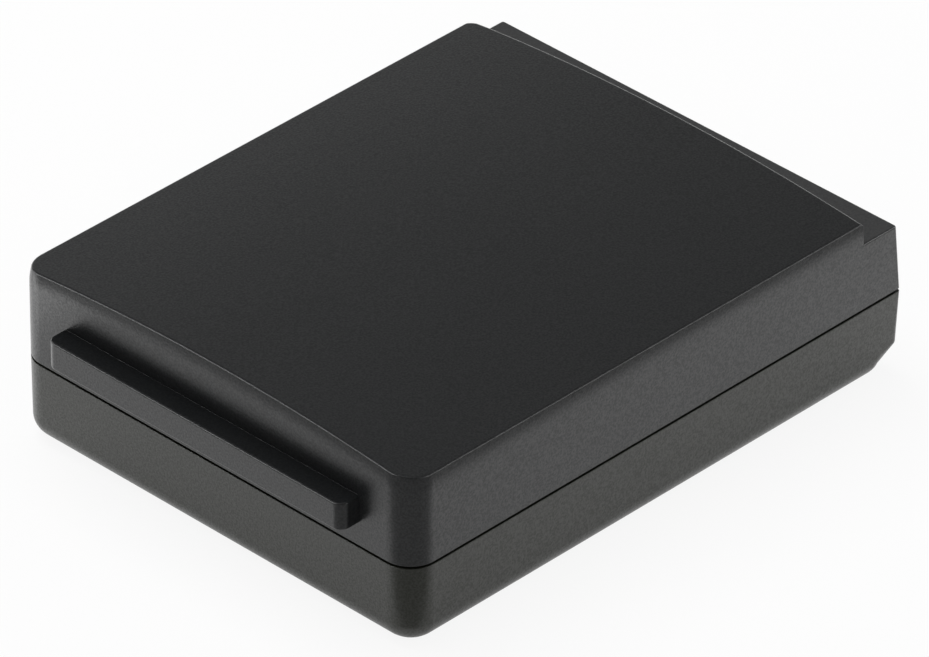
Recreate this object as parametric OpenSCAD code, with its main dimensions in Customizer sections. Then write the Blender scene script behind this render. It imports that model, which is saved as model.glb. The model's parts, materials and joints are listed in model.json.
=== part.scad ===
// Battery pack for an industrial radio remote control: two moulded shells round five cells.
// Origin at the middle of the underside, +X to the contact end, +Z up, millimetres.

/* [Housing] */
// Width of the housing along Y
body_w = 72.6; // [71:0.2:90]
// Height of the joint between the two shells
seam_z = 12.25; // [11.5:0.05:14]
// Height of the crowned top at its middle
crown_z = 28; // [27.4:0.1:34]
// Fall of the crowned top from its middle to its sides
crown_drop = 1.75; // [0.5:0.05:2.6]
// Wall thickness of both shells
wall = 2; // [1.6:0.1:2.4]
// Corner radius in plan at the ribbed end
corner_near = 4.3; // [3.3:0.1:7]
// Corner radius in plan at the contact end
corner_far = 0.5; // [0.4:0.1:3]
// Radius of the rounded edge along the bottom
foot_r = 3.2; // [2.6:0.1:4.2]
// Radius of the edge round the top
rim_r = 0.6; // [0.4:0.05:1.2]
// Inset of the end and side walls at their far edges, for draft
draft = 0.06; // [0:0.02:0.3]

/* [Contact end] */
// Length of the lowered ledge across the top
ledge_l = 7.5; // [5:0.1:9]
// Height of the ledge
ledge_z = 22.9; // [22.5:0.1:24.2]
// Lean of the upper end wall, in degrees
end_lean = 5.2; // [2:0.1:7]
// Lean of the step between the top and the ledge, in degrees
step_lean = 4; // [0:0.5:12]
// Corner radius in plan of the raised top, beside the step
panel_corner = 1.6; // [0.4:0.1:3]
// Length of the slanted toe under the contact end
toe_l = 3.5; // [3:0.1:5.5]
// Rise of the slanted toe
toe_rise = 4; // [1:0.1:4.3]
// Radius between the toe and the end wall
toe_r = 0.6; // [0.5:0.1:1.6]

/* [End rib] */
// Length of the rib along Y
rib_l = 54.2; // [30:0.2:62]
// Distance that the rib stands out from the end wall
rib_out = 3.35; // [1.5:0.05:4]
// Height of the rib
rib_h = 4.2; // [2.5:0.1:5]
// Height of the rib's lower face
rib_z = 16.2; // [15.5:0.1:19]
// Corner radius of the rib in plan
rib_corner = 1.5; // [0.5:0.1:1.5]
// Width of the bevel along the rib's edges
rib_bevel = 0.3; // [0.1:0.05:0.6]

/* [Seam] */
// Height of the shadow groove along the seam
groove_h = 0.35; // [0.2:0.05:0.6]
// Depth of the shadow groove
groove_d = 0.5; // [0.3:0.05:0.7]
// Height of the lower shell's tongue
tongue_h = 1.3; // [0.8:0.1:2]
// Thickness of the tongue
tongue_t = 0.8; // [0.6:0.05:1]
// Clearance round the tongue
tongue_gap = 0.1; // [0.05:0.05:0.2]

/* [Cells] */
// Diameter of a cell over its sleeve
cell_d = 14.5; // [13.8:0.1:14.8]
// Length of a cell over its nipple
cell_l = 50.5; // [48:0.1:52]
// Clearance between neighbouring cells, and between a cell and its cradle
cell_gap = 0.3; // [0.2:0.05:0.5]
// Height of the cells above the floor
cell_lift = 3.2; // [2.6:0.1:4]
// Height of a cell's nipple
nipple_h = 1.2; // [0.8:0.1:1.6]
// Diameter of a cell's nipple
nipple_d = 5.5; // [4:0.1:6]
// Radius of the sleeve's shoulders
shoulder_r = 0.7; // [0.4:0.05:1]
// Depth of the rolled groove round the can
bead_depth = 0.25; // [0.1:0.05:0.5]
// Distance of the rolled groove from the cell's end
bead_in = 3.6; // [2.6:0.1:5]
// Outer diameter of the paper washers
washer_d = 12.4; // [9:0.1:12.6]
// Thickness of the paper washers
washer_t = 0.3; // [0.2:0.05:0.5]

/* [Cell connections] */
// Width of the nickel strips
strip_w = 6; // [4:0.1:8]
// Thickness of the nickel strips
strip_t = 0.2; // [0.15:0.05:0.3]
// Length of strip past each cell's axis
strip_past = 3.8; // [3:0.1:5]
// Width of the slit between a strip's welds
slit_w = 0.6; // [0.3:0.1:1]
// Length of the slit between a strip's welds
slit_l = 3.4; // [2:0.1:4]
// Length of the resettable fuse's body
fuse_l = 9; // [6:0.5:11]
// Thickness of the resettable fuse's body
fuse_t = 1; // [0.6:0.1:1.2]
// Thickness of the insulating cards over the strips
card_t = 0.4; // [0.3:0.05:0.6]
// Distance that the cards reach past the strips
card_past = 0.6; // [0.3:0.1:0.8]

/* [Supports] */
// Thickness of the ribs inside the shells
web_t = 1.5; // [1:0.1:1.8]
// Height of the cradles above the floor
cradle_h = 6; // [5:0.1:7]
// Distance of the cradles from the middle
cradle_y = 16; // [10:0.5:19]
// Height of the stops behind the cell ends, above the floor
stop_h = 6.4; // [4:0.1:7]
// Thickness of the foam pad over the cells
pad_t = 3; // [2:0.1:3.6]
// Width of the foam pad over the cells
pad_w = 42; // [36:0.5:46]
// Thickness of the foam strip against the end wall
end_pad_t = 1.2; // [0.8:0.1:2]

/* [Contacts] */
// Length of the room past the cells that holds the board and the contacts
contact_room = 12.7; // [12:0.1:15]
// Distance between neighbouring contacts
contact_pitch = 15; // [12:0.5:18]
// Width of a contact window
window_w = 8; // [6:0.1:9]
// Height of a contact window's sill above the underside
window_z = 6; // [5.4:0.1:7]
// Depth of the contacts below the end face
contact_in = 0.8; // [0.4:0.1:1]
// Thickness of the contact sheet
contact_t = 0.5; // [0.3:0.05:0.6]
// Clearance between the contact carrier and the shells
carrier_gap = 0.15; // [0.1:0.05:0.3]
// Length of the contact carrier along X
carrier_l = 5; // [4:0.1:5.5]
// Width of the contact carrier along Y
carrier_w = 46; // [44:0.5:56]
// Least height of the seats under the carrier above the floor
seat_h = 2.2; // [1.8:0.1:3]
// Thickness of the circuit board
board_t = 1; // [0.8:0.1:1.6]
// Height of the circuit board
board_h = 11.4; // [9:0.1:12.5]

/* [Leads] */
// Diameter of the power leads
lead_d = 1.6; // [1:0.1:2]
// Diameter of the thermistor's leads
thin_d = 0.8; // [0.6:0.05:1]
// Diameter of the thermistor's bead
bead_d = 2.4; // [1.6:0.1:2.6]

/* [Hidden] */

cell_count = 5;
overlap = 0.1;
hull_fn = 32;
fine_fn = 64;
rim_fn = 16;
crown_steps = 16;
corner_steps = 5;
foot_steps = 3;
round_fn = 96;

pitch = cell_d + cell_gap;
// Length of the housing along X, without the end rib
body_l = 2 * wall + end_pad_t + cell_gap + cell_count * pitch + contact_room;
half_l = body_l / 2;
half_w = body_w / 2;
crown_r = (half_w * half_w + crown_drop * crown_drop) / (2 * crown_drop);
toe_a = atan(toe_rise / toe_l);
toe_x = half_l - toe_l;
floor_z = wall;
cell_r = cell_d / 2;
cell_z = floor_z + cell_lift + cell_r;
row_x0 = -half_l + wall + end_pad_t + cell_gap + cell_r;
row_x1 = row_x0 + (cell_count - 1) * pitch;
row_end = row_x1 + cell_r + cell_gap;
end_y = cell_l / 2;
strip_y = end_y + strip_t;
stop_y = strip_y + card_t + overlap;
pad_z = cell_z + cell_r + overlap;
hold_z = pad_z + pad_t;
carrier_x1 = half_l - wall - carrier_gap;
carrier_x0 = carrier_x1 - carrier_l;
carrier_top = seam_z;
toe_in = (carrier_x1 - toe_x) * tan(toe_a) + wall / cos(toe_a) + carrier_gap;
seat_z = max(floor_z + seat_h, toe_in);
face_x = half_l - contact_in;
tail_z = carrier_top - contact_t - overlap;
board_x0 = carrier_x0 - board_t;
board_top = seat_z + board_h;
lane_x = (row_end + board_x0) / 2;
lead_r = lead_d / 2;
thin_r = thin_d / 2;
tail_w = contact_pitch / 5;
contact_w = window_w - 2 * carrier_gap - 2 * overlap;
pad_half = window_w / 2 - carrier_gap;
coring_w = contact_pitch - window_w;
part_z = seat_z + board_h / 2;
bead_l = 3;
lead_sides = 8;
lead_steps = 3;
valley_x = row_x1 - pitch / 2;
valley_z = cell_z + sqrt(pow(cell_r + bead_d / 2 + overlap, 2) - pow(pitch / 2, 2));

// Height of the crowned top at a distance from the middle line
function crown(y) = crown_z - crown_r + sqrt(crown_r * crown_r - y * y);
// Place of a cell's axis along X, counted from 1
function cell_x(i) = row_x0 + (i - 1) * pitch;
// Side on which a cell's positive end lies
function plus_side(i) = i % 2 == 1 ? 1 : -1;

// Outline of the housing in plan, moved in by a distance
module plan(inset) {
    rn = max(corner_near - inset, 0.3);
    rf = max(corner_far - inset, 0.3);
    x0 = inset - half_l;
    x1 = half_l - inset;
    hw = half_w - inset;
    translate([x0 + rn, -hw]) square([x1 - rf - x0 - rn, 2 * hw]);
    translate([x0, rn - hw]) square([rn, 2 * (hw - rn)]);
    translate([x1 - rf, rf - hw]) square([rf, 2 * (hw - rf)]);
    for (s = [-1, 1]) {
        translate([x0 + rn, s * (hw - rn)]) circle(rn, $fn = fine_fn);
        translate([x1 - rf, s * (hw - rf)]) circle(rf, $fn = hull_fn);
    }
}

// Centres of the balls that round the top edge, for a skin moved in by a distance
function rim_points(inset, r) =
    let (
        rc = max(corner_near - inset - r, 0.1),
        xn = -half_l + draft + inset + r,
        hw = half_w - draft - inset - r,
        flat_w = hw - rc,
        near = [for (i = [0 : crown_steps]) [xn, flat_w * (2 * i / crown_steps - 1)]],
        bends = [for (s = [-1, 1], i = [1 : corner_steps])
            let (a = 90 * i / corner_steps) [xn + rc - rc * cos(a), s * (flat_w + rc * sin(a))]],
        far = [for (i = [0 : crown_steps]) hw * (2 * i / crown_steps - 1)]
    )
    concat(
        [for (p = concat(near, bends)) [p.x, p.y, crown(p.y) - inset - r]],
        [for (y = far) let (z = crown(y) - inset - r)
            [half_l - (z - seam_z) * tan(end_lean) - inset - r, y, z]]
    );

// Crowned upper half of the housing, moved in by a distance and reaching a little below the seam
module upper_form(inset, below) {
    r = max(rim_r - inset, 0.3);
    hull() {
        translate([0, 0, seam_z - below]) linear_extrude(below + overlap) plan(inset);
        for (p = rim_points(inset, r)) translate(p) sphere(r, $fn = rim_fn);
    }
}

// Rounded lower half with its slanted toe, moved in by a distance and reaching above the seam
module lower_form(inset, above) {
    r = max(foot_r - inset, 0.5);
    rt = max(toe_r - inset, 0.5);
    rc = max(corner_near - inset - r, overlap);
    yb = half_w - draft - inset;
    xt = half_l - inset - rt;
    zt = (rt + inset + (xt - toe_x) * sin(toe_a)) / cos(toe_a);
    x_near = draft + inset + r - half_l;
    x_toe = toe_x - (r + inset) * tan(toe_a / 2);
    hull() {
        translate([0, 0, seam_z - overlap]) linear_extrude(overlap + above) plan(inset);
        translate([x_near + rc, r - yb, inset]) cube([x_toe - x_near - rc, 2 * (yb - r), r]);
        for (s = [-1, 1]) {
            for (i = [0 : foot_steps]) let (a = 90 * i / foot_steps)
                translate([x_near + rc - rc * cos(a), s * (yb - r - rc + rc * sin(a)), inset + r])
                    sphere(r, $fn = hull_fn);
            translate([x_toe, s * (yb - r), inset + r]) sphere(r, $fn = hull_fn);
            translate([xt, s * (yb - rt), zt]) sphere(rt, $fn = hull_fn);
        }
    }
}

// Space above the ledge, grown by the wall where it shapes the inside
module above_ledge(grow) {
    x0 = half_l - ledge_l - grow;
    translate([0, body_w, 0]) rotate([90, 0, 0]) linear_extrude(2 * body_w) polygon([
        [x0, ledge_z - grow],
        [body_l, ledge_z - grow],
        [body_l, ledge_z + crown_z],
        [x0 - (crown_z + grow) * tan(step_lean), ledge_z + crown_z]
    ]);
}

// Waste outside the two rounded upright corners of the step, which lean with it
module step_corners() {
    r = panel_corner;
    intersection() {
        translate([0, -body_w, ledge_z]) cube([body_l, 2 * body_w, crown_z]);
        for (s = [-1, 1]) translate([half_l - ledge_l, s * (half_w - draft - r), ledge_z]) rotate([0, -step_lean, 0])
            translate([-r, 0, -r]) linear_extrude(crown_z) difference() {
                translate([0, s > 0 ? 0 : -2 * r]) square(2 * r);
                circle(r, $fn = hull_fn);
            }
    }
}

// Guide rib across the end wall
module end_rib() {
    x0 = -half_l - rib_out;
    hull() {
        translate([0, 0, rib_z]) linear_extrude(rib_h) rib_plan(x0, rib_bevel);
        translate([0, 0, rib_z + rib_bevel]) linear_extrude(rib_h - 2 * rib_bevel) rib_plan(x0, 0);
    }
}

// Outline of the guide rib in plan, moved in by a bevel
module rib_plan(x0, inset) {
    r = rib_corner - inset;
    for (s = [-1, 1]) translate([x0 + rib_corner, s * (rib_l / 2 - rib_corner)]) circle(r, $fn = hull_fn);
    translate([x0 + inset, rib_corner - rib_l / 2]) square([rib_out + wall / 2, rib_l - 2 * rib_corner]);
    translate([x0 + rib_corner, inset - rib_l / 2]) square([rib_out + wall / 2 - rib_corner, rib_l - 2 * inset]);
}

module upper_shell() {
    color("#2f3133") {
        difference() {
            upper_form(0, 0);
            above_ledge(0);
            step_corners();
            difference() {
                upper_form(wall, wall);
                above_ledge(wall);
            }
            translate([0, 0, seam_z - wall]) linear_extrude(wall + groove_h) difference() {
                plan(-wall);
                plan(groove_d);
            }
            translate([0, 0, seam_z - wall]) linear_extrude(wall + tongue_h + tongue_gap)
                plan(wall - tongue_t - tongue_gap);
        }
        end_rib();
        intersection() {
            hold_down_ribs();
            difference() {
                upper_form(wall / 2, 0);
                above_ledge(wall / 2);
            }
        }
    }
}

// Ribs under the roof that hold the foam pad and the contact carrier down
module hold_down_ribs() {
    for (y = [-cradle_y, 0, cradle_y]) translate([-half_l, y - web_t / 2, hold_z])
        cube([row_end + half_l, web_t, crown_z - hold_z]);
    for (s = [-1, 1]) translate([carrier_x0 + overlap, s * contact_pitch / 2 - web_t / 2, carrier_top])
        cube([carrier_l / 2, web_t, crown_z - carrier_top]);
}

module lower_shell() {
    color("#33352f") {
        difference() {
            union() {
                lower_form(0, 0);
                translate([0, 0, seam_z - overlap]) linear_extrude(overlap + tongue_h) plan(wall - tongue_t);
            }
            lower_form(wall, wall + tongue_h);
            for (i = [-1 : 1]) translate([half_l - 2 * wall, i * contact_pitch - window_w / 2, window_z])
                cube([3 * wall, window_w, seam_z]);
        }
        intersection() {
            cell_supports();
            lower_form(wall / 2, 0);
        }
    }
}

// Cradles, stops and carrier seats on the floor of the lower shell
module cell_supports() {
    difference() {
        union() {
            for (s = [-1, 1]) translate([-half_l, s * cradle_y - web_t / 2, 0])
                cube([row_end + web_t + half_l, web_t, floor_z + cradle_h]);
            translate([row_end, -end_y, 0]) cube([web_t, cell_l, floor_z + cradle_h]);
            for (s = [0, 1]) mirror([0, s, 0]) translate([-half_l, stop_y, 0])
                cube([row_end + web_t + half_l, web_t, floor_z + stop_h]);
        }
        for (i = [1 : cell_count]) translate([cell_x(i), 0, cell_z]) rotate([90, 0, 0])
            cylinder(r = cell_r + cell_gap, h = cell_l, center = true, $fn = round_fn);
    }
    for (s = [-1, 1]) translate([board_x0 - web_t, s * contact_pitch * 1.5 - web_t / 2, 0])
        cube([carrier_x1 - board_x0 + web_t, web_t, seat_z]);
}

// Cell standing on its negative end, with its sleeve's shoulders and the groove rolled into its can
module cell_body() {
    body_top = end_y - nipple_h;
    bead_round = 1.2;
    rotate_extrude($fn = round_fn) difference() {
        union() {
            translate([0, -end_y]) square([cell_r - shoulder_r, body_top + end_y]);
            translate([0, shoulder_r - end_y]) square([cell_r, body_top + end_y - 2 * shoulder_r]);
            for (z = [shoulder_r - end_y, body_top - shoulder_r])
                translate([cell_r - shoulder_r, z]) circle(shoulder_r, $fn = hull_fn);
            translate([0, body_top - overlap]) square([nipple_d / 2, nipple_h + overlap]);
        }
        translate([cell_r + bead_round - bead_depth, end_y - bead_in]) circle(bead_round, $fn = hull_fn);
    }
}

// Places its children on a cell's axis, with their +Z towards the cell's positive end
module on_cell(i) {
    translate([cell_x(i), 0, cell_z]) rotate([-90 * plus_side(i), 0, 0]) children();
}

module cell(i) {
    color("#3f7d55") on_cell(i) cell_body();
}

module cell_washers() {
    color("#e8e2d0") for (i = [1 : cell_count]) on_cell(i) translate([0, 0, end_y - nipple_h])
        linear_extrude(washer_t) difference() {
            circle(washer_d / 2, $fn = fine_fn);
            circle(nipple_d / 2 + cell_gap, $fn = fine_fn);
        }
}

// Flat nickel strip on the cell ends of one side, from x0 to x1, with a slit at each welded cell
module nickel_strip(x0, x1, side, welds) {
    translate([0, side > 0 ? strip_y : -end_y, cell_z]) rotate([90, 0, 0]) linear_extrude(strip_t)
        difference() {
            translate([x0, -strip_w / 2]) square([x1 - x0, strip_w]);
            for (i = welds) translate([cell_x(i) - slit_w / 2, strip_w / 2 - slit_l])
                square([slit_w, slit_l + overlap]);
        }
}

// Strip that joins a cell to the next one
module series_strip(i) {
    color("#c9c9c4") nickel_strip(cell_x(i) - strip_past, cell_x(i + 1) + strip_past, plus_side(i), [i, i + 1]);
}

module resettable_fuse() {
    mid = (cell_x(3) + cell_x(4)) / 2;
    color("#d7b23c") {
        nickel_strip(cell_x(3) - strip_past, cell_x(4) + strip_past, 1, [3, 4]);
        translate([mid - fuse_l / 2, strip_y - strip_t / 2, cell_z - strip_w / 2])
            cube([fuse_l, fuse_t + strip_t / 2, strip_w]);
    }
}

module negative_tab() {
    color("#c9c9c4") nickel_strip(cell_x(1) - strip_past, cell_x(1) + cell_r, -1, [1]);
}

module positive_tab() {
    color("#c9c9c4") nickel_strip(cell_x(cell_count) - strip_past, row_end, 1, [cell_count]);
}

// Insulating card that stands on the floor between the strips of one side and the stop
module card(first, last, side) {
    x0 = cell_x(first) - strip_past - card_past;
    x1 = cell_x(last) + strip_past + card_past;
    color("#d9d4c2") translate([x0, side > 0 ? strip_y : -strip_y - card_t, floor_z])
        cube([x1 - x0, card_t, cell_z + strip_w / 2 + card_past - floor_z]);
}

module top_pad() {
    color("#55585c") translate([row_x0 - cell_r, -pad_w / 2, pad_z])
        cube([row_x1 - row_x0 + cell_d, pad_w, pad_t]);
}

module end_pad() {
    x0 = wall + draft + overlap / 4 - half_l;
    color("#55585c") translate([x0, -cradle_y - web_t, floor_z + cradle_h])
        cube([end_pad_t, 2 * (cradle_y + web_t), cell_d - cradle_h]);
}

module contact_carrier() {
    color("#1f2022") {
        difference() {
            translate([carrier_x0, -carrier_w / 2, seat_z]) cube([carrier_l, carrier_w, carrier_top - seat_z]);
            for (i = [-1 : 1]) translate([0, i * contact_pitch - tail_w / 2 - carrier_gap, tail_z])
                cube([body_l, tail_w + 2 * carrier_gap, seam_z]);
            for (i = [-1.5 : 1 : 1.5]) translate([carrier_x0 + web_t, i * contact_pitch - coring_w / 2, 0])
                cube([carrier_l - 2 * web_t, coring_w, carrier_top - web_t]);
        }
        for (i = [-1 : 1]) translate([carrier_x1 - overlap, i * contact_pitch - pad_half, window_z + carrier_gap])
            cube([face_x - contact_t - carrier_x1 + overlap, 2 * pad_half, tail_z - window_z - carrier_gap]);
    }
}

// Contact folded from sheet: a face in its window and a tail that runs back to the board
module contact(i) {
    color("#d8c480") translate([0, i * contact_pitch, 0]) {
        translate([face_x - contact_t, -contact_w / 2, window_z + carrier_gap])
            cube([contact_t, contact_w, tail_z + contact_t - window_z - carrier_gap]);
        translate([carrier_x0, -tail_w / 2, tail_z]) cube([face_x - carrier_x0, tail_w, contact_t]);
    }
}

module circuit_board() {
    color("#2f6b3f") translate([board_x0, web_t - carrier_w / 2, seat_z])
        cube([board_t, carrier_w - 2 * web_t, board_h]);
}

// Small moulded component on the back of the board, with a metal cap at each end
module board_part(y, z, l, w, h, cap) {
    translate([board_x0 - h, y - l / 2 + cap, z - w / 2]) cube([h, l - 2 * cap, w]);
    for (e = [y - l / 2, y + l / 2 - cap]) translate([board_x0 - 0.8 * h, e, z - 0.4 * w])
        cube([0.8 * h, cap, 0.8 * w]);
}

module chip_fuse() {
    color("#e9e6dc") board_part(contact_pitch / 2, part_z, 4.5, 3.2, 1, 1);
}

module charge_diode() {
    color("#26282a") board_part(-contact_pitch / 8, part_z, 5.2, 2.6, 2.1, 0.7);
}

module coding_resistor() {
    color("#1d1f21") board_part(-contact_pitch, part_z - 1.5, 3.2, 1.6, 0.6, 0.5);
}

module thermistor() {
    color("#b06a2c") translate([valley_x, 0, valley_z]) rotate([90, 0, 0]) {
        cylinder(d = bead_d, h = bead_l, center = true, $fn = hull_fn);
        for (s = [-1, 1]) translate([0, 0, s * bead_l / 2]) sphere(d = bead_d, $fn = hull_fn);
    }
}

// Unit vector along a vector
function unit(v) = v / norm(v);
// Point of the smooth curve from b to c, with a before and d after them
function blend(a, b, c, d, t) = (2 * b + (c - a) * t + (2 * a - 5 * b + 4 * c - d) * t * t
    + (3 * b - a - 3 * c + d) * t * t * t) / 2;
// Smooth path through the points of a route
function path_of(route) = let (n = len(route) - 1) concat(
    [for (i = [0 : n - 1], k = [0 : lead_steps - 1])
        blend(route[max(i - 1, 0)], route[i], route[i + 1], route[min(i + 2, n)], k / lead_steps)],
    [route[n]]);

// Round lead along a route, moved sideways in plan so that two can lie side by side
module lead(route, r, side) {
    path = path_of(route);
    n = len(path) - 1;
    rings = [for (i = [0 : n]) let (
            t = unit(path[min(i + 1, n)] - path[max(i - 1, 0)]),
            u = unit(cross(t, [0, 0, 1])),
            v = cross(u, t)
        ) for (k = [0 : lead_sides - 1]) let (a = 360 * k / lead_sides)
            path[i] + side * u + r * (cos(a) * u + sin(a) * v)];
    walls = [for (i = [0 : n - 1], k = [0 : lead_sides - 1]) let (
            m = (k + 1) % lead_sides,
            b = i * lead_sides
        ) [b + k, b + m, b + lead_sides + m, b + lead_sides + k]];
    ends = [[for (k = [lead_sides - 1 : -1 : 0]) k], [for (k = [0 : lead_sides - 1]) n * lead_sides + k]];
    polyhedron(points = rings, faces = concat(walls, ends));
}

module thermistor_leads() {
    y_out = -stop_y - web_t - 1.75 * thin_d;
    route = [
        [valley_x, -bead_l / 2 - bead_d / 2 - overlap, valley_z],
        [valley_x, -end_y / 2, valley_z],
        [valley_x, -0.87 * end_y, valley_z],
        [valley_x + thin_d, -stop_y - 0.75 * thin_d, valley_z + overlap],
        [valley_x + pitch / 3, y_out, valley_z],
        [row_x1 + pitch / 5, y_out - overlap, valley_z - 0.75 * thin_d],
        [row_end + thin_d, y_out + 2 * thin_d, valley_z - 1.5 * thin_d],
        [lane_x, -1.4 * contact_pitch, valley_z - 2.25 * thin_d],
        [lane_x + thin_r, -0.87 * contact_pitch, valley_z - 2.75 * thin_d],
        [board_x0 - 2.25 * thin_d, -0.57 * contact_pitch, board_top - 1.5 * thin_d],
        [board_x0 - overlap / 2, -0.53 * contact_pitch, board_top - 1.5 * thin_d]
    ];
    color("#20202a") for (s = [-1, 1]) lead(route, thin_r, s * (thin_r + overlap));
}

module positive_lead() {
    y0 = strip_y + lead_r + overlap / 2;
    route = [
        [row_end - 1.5 * lead_d, y0, cell_z],
        [row_end + lead_r, y0, cell_z + overlap],
        [lane_x, y0 - 1.4 * lead_d, cell_z + 0.3 * lead_d],
        [lane_x + overlap, y0 - 3.75 * lead_d, cell_z + 0.4 * lead_d],
        [board_x0 - 1.2 * lead_d, contact_pitch + 0.4 * lead_d, cell_z + lead_d / 4],
        [board_x0 - 2 * overlap, contact_pitch, cell_z + lead_d / 4]
    ];
    color("#b3261e") lead(route, lead_r, 0);
}

module negative_lead() {
    y0 = -strip_y - lead_r - overlap / 2;
    y_out = -stop_y - web_t - lead_d;
    route = [
        [cell_x(1) + 0.4 * lead_d, y0, cell_z],
        [cell_x(1) + 2.5 * lead_d, y0 - overlap, cell_z],
        [cell_x(2) - strip_past - 0.6 * lead_d, y_out + 0.4 * lead_d, cell_z - 0.4 * lead_d],
        [cell_x(2) + pitch / 5, y_out, cell_z - 0.75 * lead_d],
        [cell_x(3), y_out, cell_z - 0.9 * lead_d],
        [cell_x(4), y_out, cell_z - 0.9 * lead_d],
        [cell_x(5), y_out, cell_z - 0.75 * lead_d],
        [row_end - 0.6 * lead_d, y_out + lead_r, cell_z - 0.6 * lead_d],
        [lane_x - lead_r, -1.6 * contact_pitch, cell_z - 0.4 * lead_d],
        [lane_x, -1.33 * contact_pitch, cell_z - overlap],
        [board_x0 - 1.2 * lead_d, -contact_pitch - 0.4 * lead_d, cell_z],
        [board_x0 - 2 * overlap, -contact_pitch, cell_z]
    ];
    color("#1c1c1e") lead(route, lead_r, 0);
}

upper_shell();
lower_shell();
cell(1);  // cell_1
cell(2);  // cell_2
cell(3);  // cell_3
cell(4);  // cell_4
cell(5);  // cell_5
cell_washers();
series_strip(1);  // strip_1_2
series_strip(2);  // strip_2_3
series_strip(4);  // strip_4_5
resettable_fuse();
negative_tab();
positive_tab();
card(1, 2, 1);  // card_left
card(2, 5, -1);  // card_right
top_pad();
end_pad();
contact_carrier();
contact(1);  // contact_positive
contact(0);  // contact_charge
contact(-1);  // contact_negative
circuit_board();
chip_fuse();
charge_diode();
coding_resistor();
thermistor();
thermistor_leads();
positive_lead();
negative_lead();
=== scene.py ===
"""Battery pack of an industrial radio remote control: two satin black shells round five cells.

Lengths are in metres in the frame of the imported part: the origin is the middle of the underside,
+X points to the contact end and +Z up. The housing's sizes are written in millimetres.
"""

import json
import logging
import math
from dataclasses import dataclass
from enum import Enum

import bmesh
import bpy
import numpy as np
from bpy.types import ID, Material, Mesh, Node, NodeOutputs, NodeSocket, NodeTree, Object
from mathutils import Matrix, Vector


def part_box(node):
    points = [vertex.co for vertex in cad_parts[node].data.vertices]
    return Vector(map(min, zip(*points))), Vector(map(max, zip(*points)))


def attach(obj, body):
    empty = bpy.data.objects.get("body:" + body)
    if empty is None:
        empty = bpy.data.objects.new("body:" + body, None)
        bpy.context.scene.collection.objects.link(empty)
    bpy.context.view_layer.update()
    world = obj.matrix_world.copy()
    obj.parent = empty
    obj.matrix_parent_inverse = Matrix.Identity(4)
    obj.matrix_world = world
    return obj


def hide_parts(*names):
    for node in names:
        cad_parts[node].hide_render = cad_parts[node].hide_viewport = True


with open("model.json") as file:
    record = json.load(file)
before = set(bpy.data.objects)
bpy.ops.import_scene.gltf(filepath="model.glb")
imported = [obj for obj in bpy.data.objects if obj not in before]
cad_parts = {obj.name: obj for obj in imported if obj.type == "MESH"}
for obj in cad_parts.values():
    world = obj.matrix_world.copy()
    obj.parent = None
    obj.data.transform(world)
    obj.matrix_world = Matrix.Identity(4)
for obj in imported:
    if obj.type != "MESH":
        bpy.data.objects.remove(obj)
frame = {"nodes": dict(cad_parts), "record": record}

LOG = logging.getLogger("battery_pack")
MM = 0.001
WELD_DISTANCE = 2e-6
PIT_SCALE_SHARE = 0.7
FINE_SHARE, PIT_SHARE = 0.6, 0.5
CLOUD_TINT, FINE_TINT = 0.45, 0.55
LINE_TINT, STAIN_TINT = 0.6, 0.4
SPECK_BOUNDS = (0.35, 0.65)
STREAK_STRETCH = 0.04
STAIN_SCALE = 140.0
FIRST_REFLECTION = 1.5


# Meshes


class Quilt:
    """Gathers patches of points, in millimetres, and sews them into one closed mesh."""

    def __init__(self) -> None:
        """Start with no patches."""
        self.points: list[tuple[float, float, float]] = []
        self.faces: list[tuple[int, ...]] = []

    def patch(self, rows: list[np.ndarray], closed: bool = False) -> None:
        """Add the quads between neighbouring rows of points.

        Args:
            rows: Arrays of points, all of the same length.
            closed: Whether each row runs back to its first point.
        """
        start, width = len(self.points), len(rows[0])
        for row in rows:
            self.points.extend(map(tuple, row))
        last = width if closed else width - 1
        for r in range(len(rows) - 1):
            for c in range(last):
                a, b = start + r * width + c, start + r * width + (c + 1) % width
                self.faces.append((a, b, b + width, a + width))

    def polygon(self, points: list[np.ndarray]) -> None:
        """Add one flat face through the points, in order.

        Args:
            points: Corners of the face.
        """
        start = len(self.points)
        self.points.extend(map(tuple, points))
        self.faces.append(tuple(range(start, start + len(points))))

    def tube(self, rows: list[np.ndarray]) -> None:
        """Add closed rows of points with a flat face over the first and the last.

        Args:
            rows: Rows of points, each once round.
        """
        self.patch(rows, closed=True)
        self.polygon(list(rows[0]))
        self.polygon(list(rows[-1]))

    def mesh(self, name: str) -> Mesh:
        """Sew the patches and turn every face outwards.

        Args:
            name: Name of the mesh.

        Returns:
            The welded mesh, in metres.
        """
        bm = bmesh.new()
        verts = [bm.verts.new(Vector(p) * MM) for p in self.points]
        for face in self.faces:
            bm.faces.new([verts[i] for i in face])
        bmesh.ops.remove_doubles(bm, verts=bm.verts, dist=WELD_DISTANCE)
        bmesh.ops.dissolve_degenerate(bm, edges=bm.edges, dist=WELD_DISTANCE)
        bmesh.ops.recalc_face_normals(bm, faces=bm.faces)
        mesh = bpy.data.meshes.new(name)
        bm.to_mesh(mesh)
        bm.free()
        return mesh


def new_object(name: str, data: ID) -> Object:
    """Link a new object at the origin.

    Args:
        name: Name of the object.
        data: Mesh, lamp or camera that it shows.

    Returns:
        The object.
    """
    piece = bpy.data.objects.new(name, data)
    bpy.context.scene.collection.objects.link(piece)
    return piece


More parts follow.
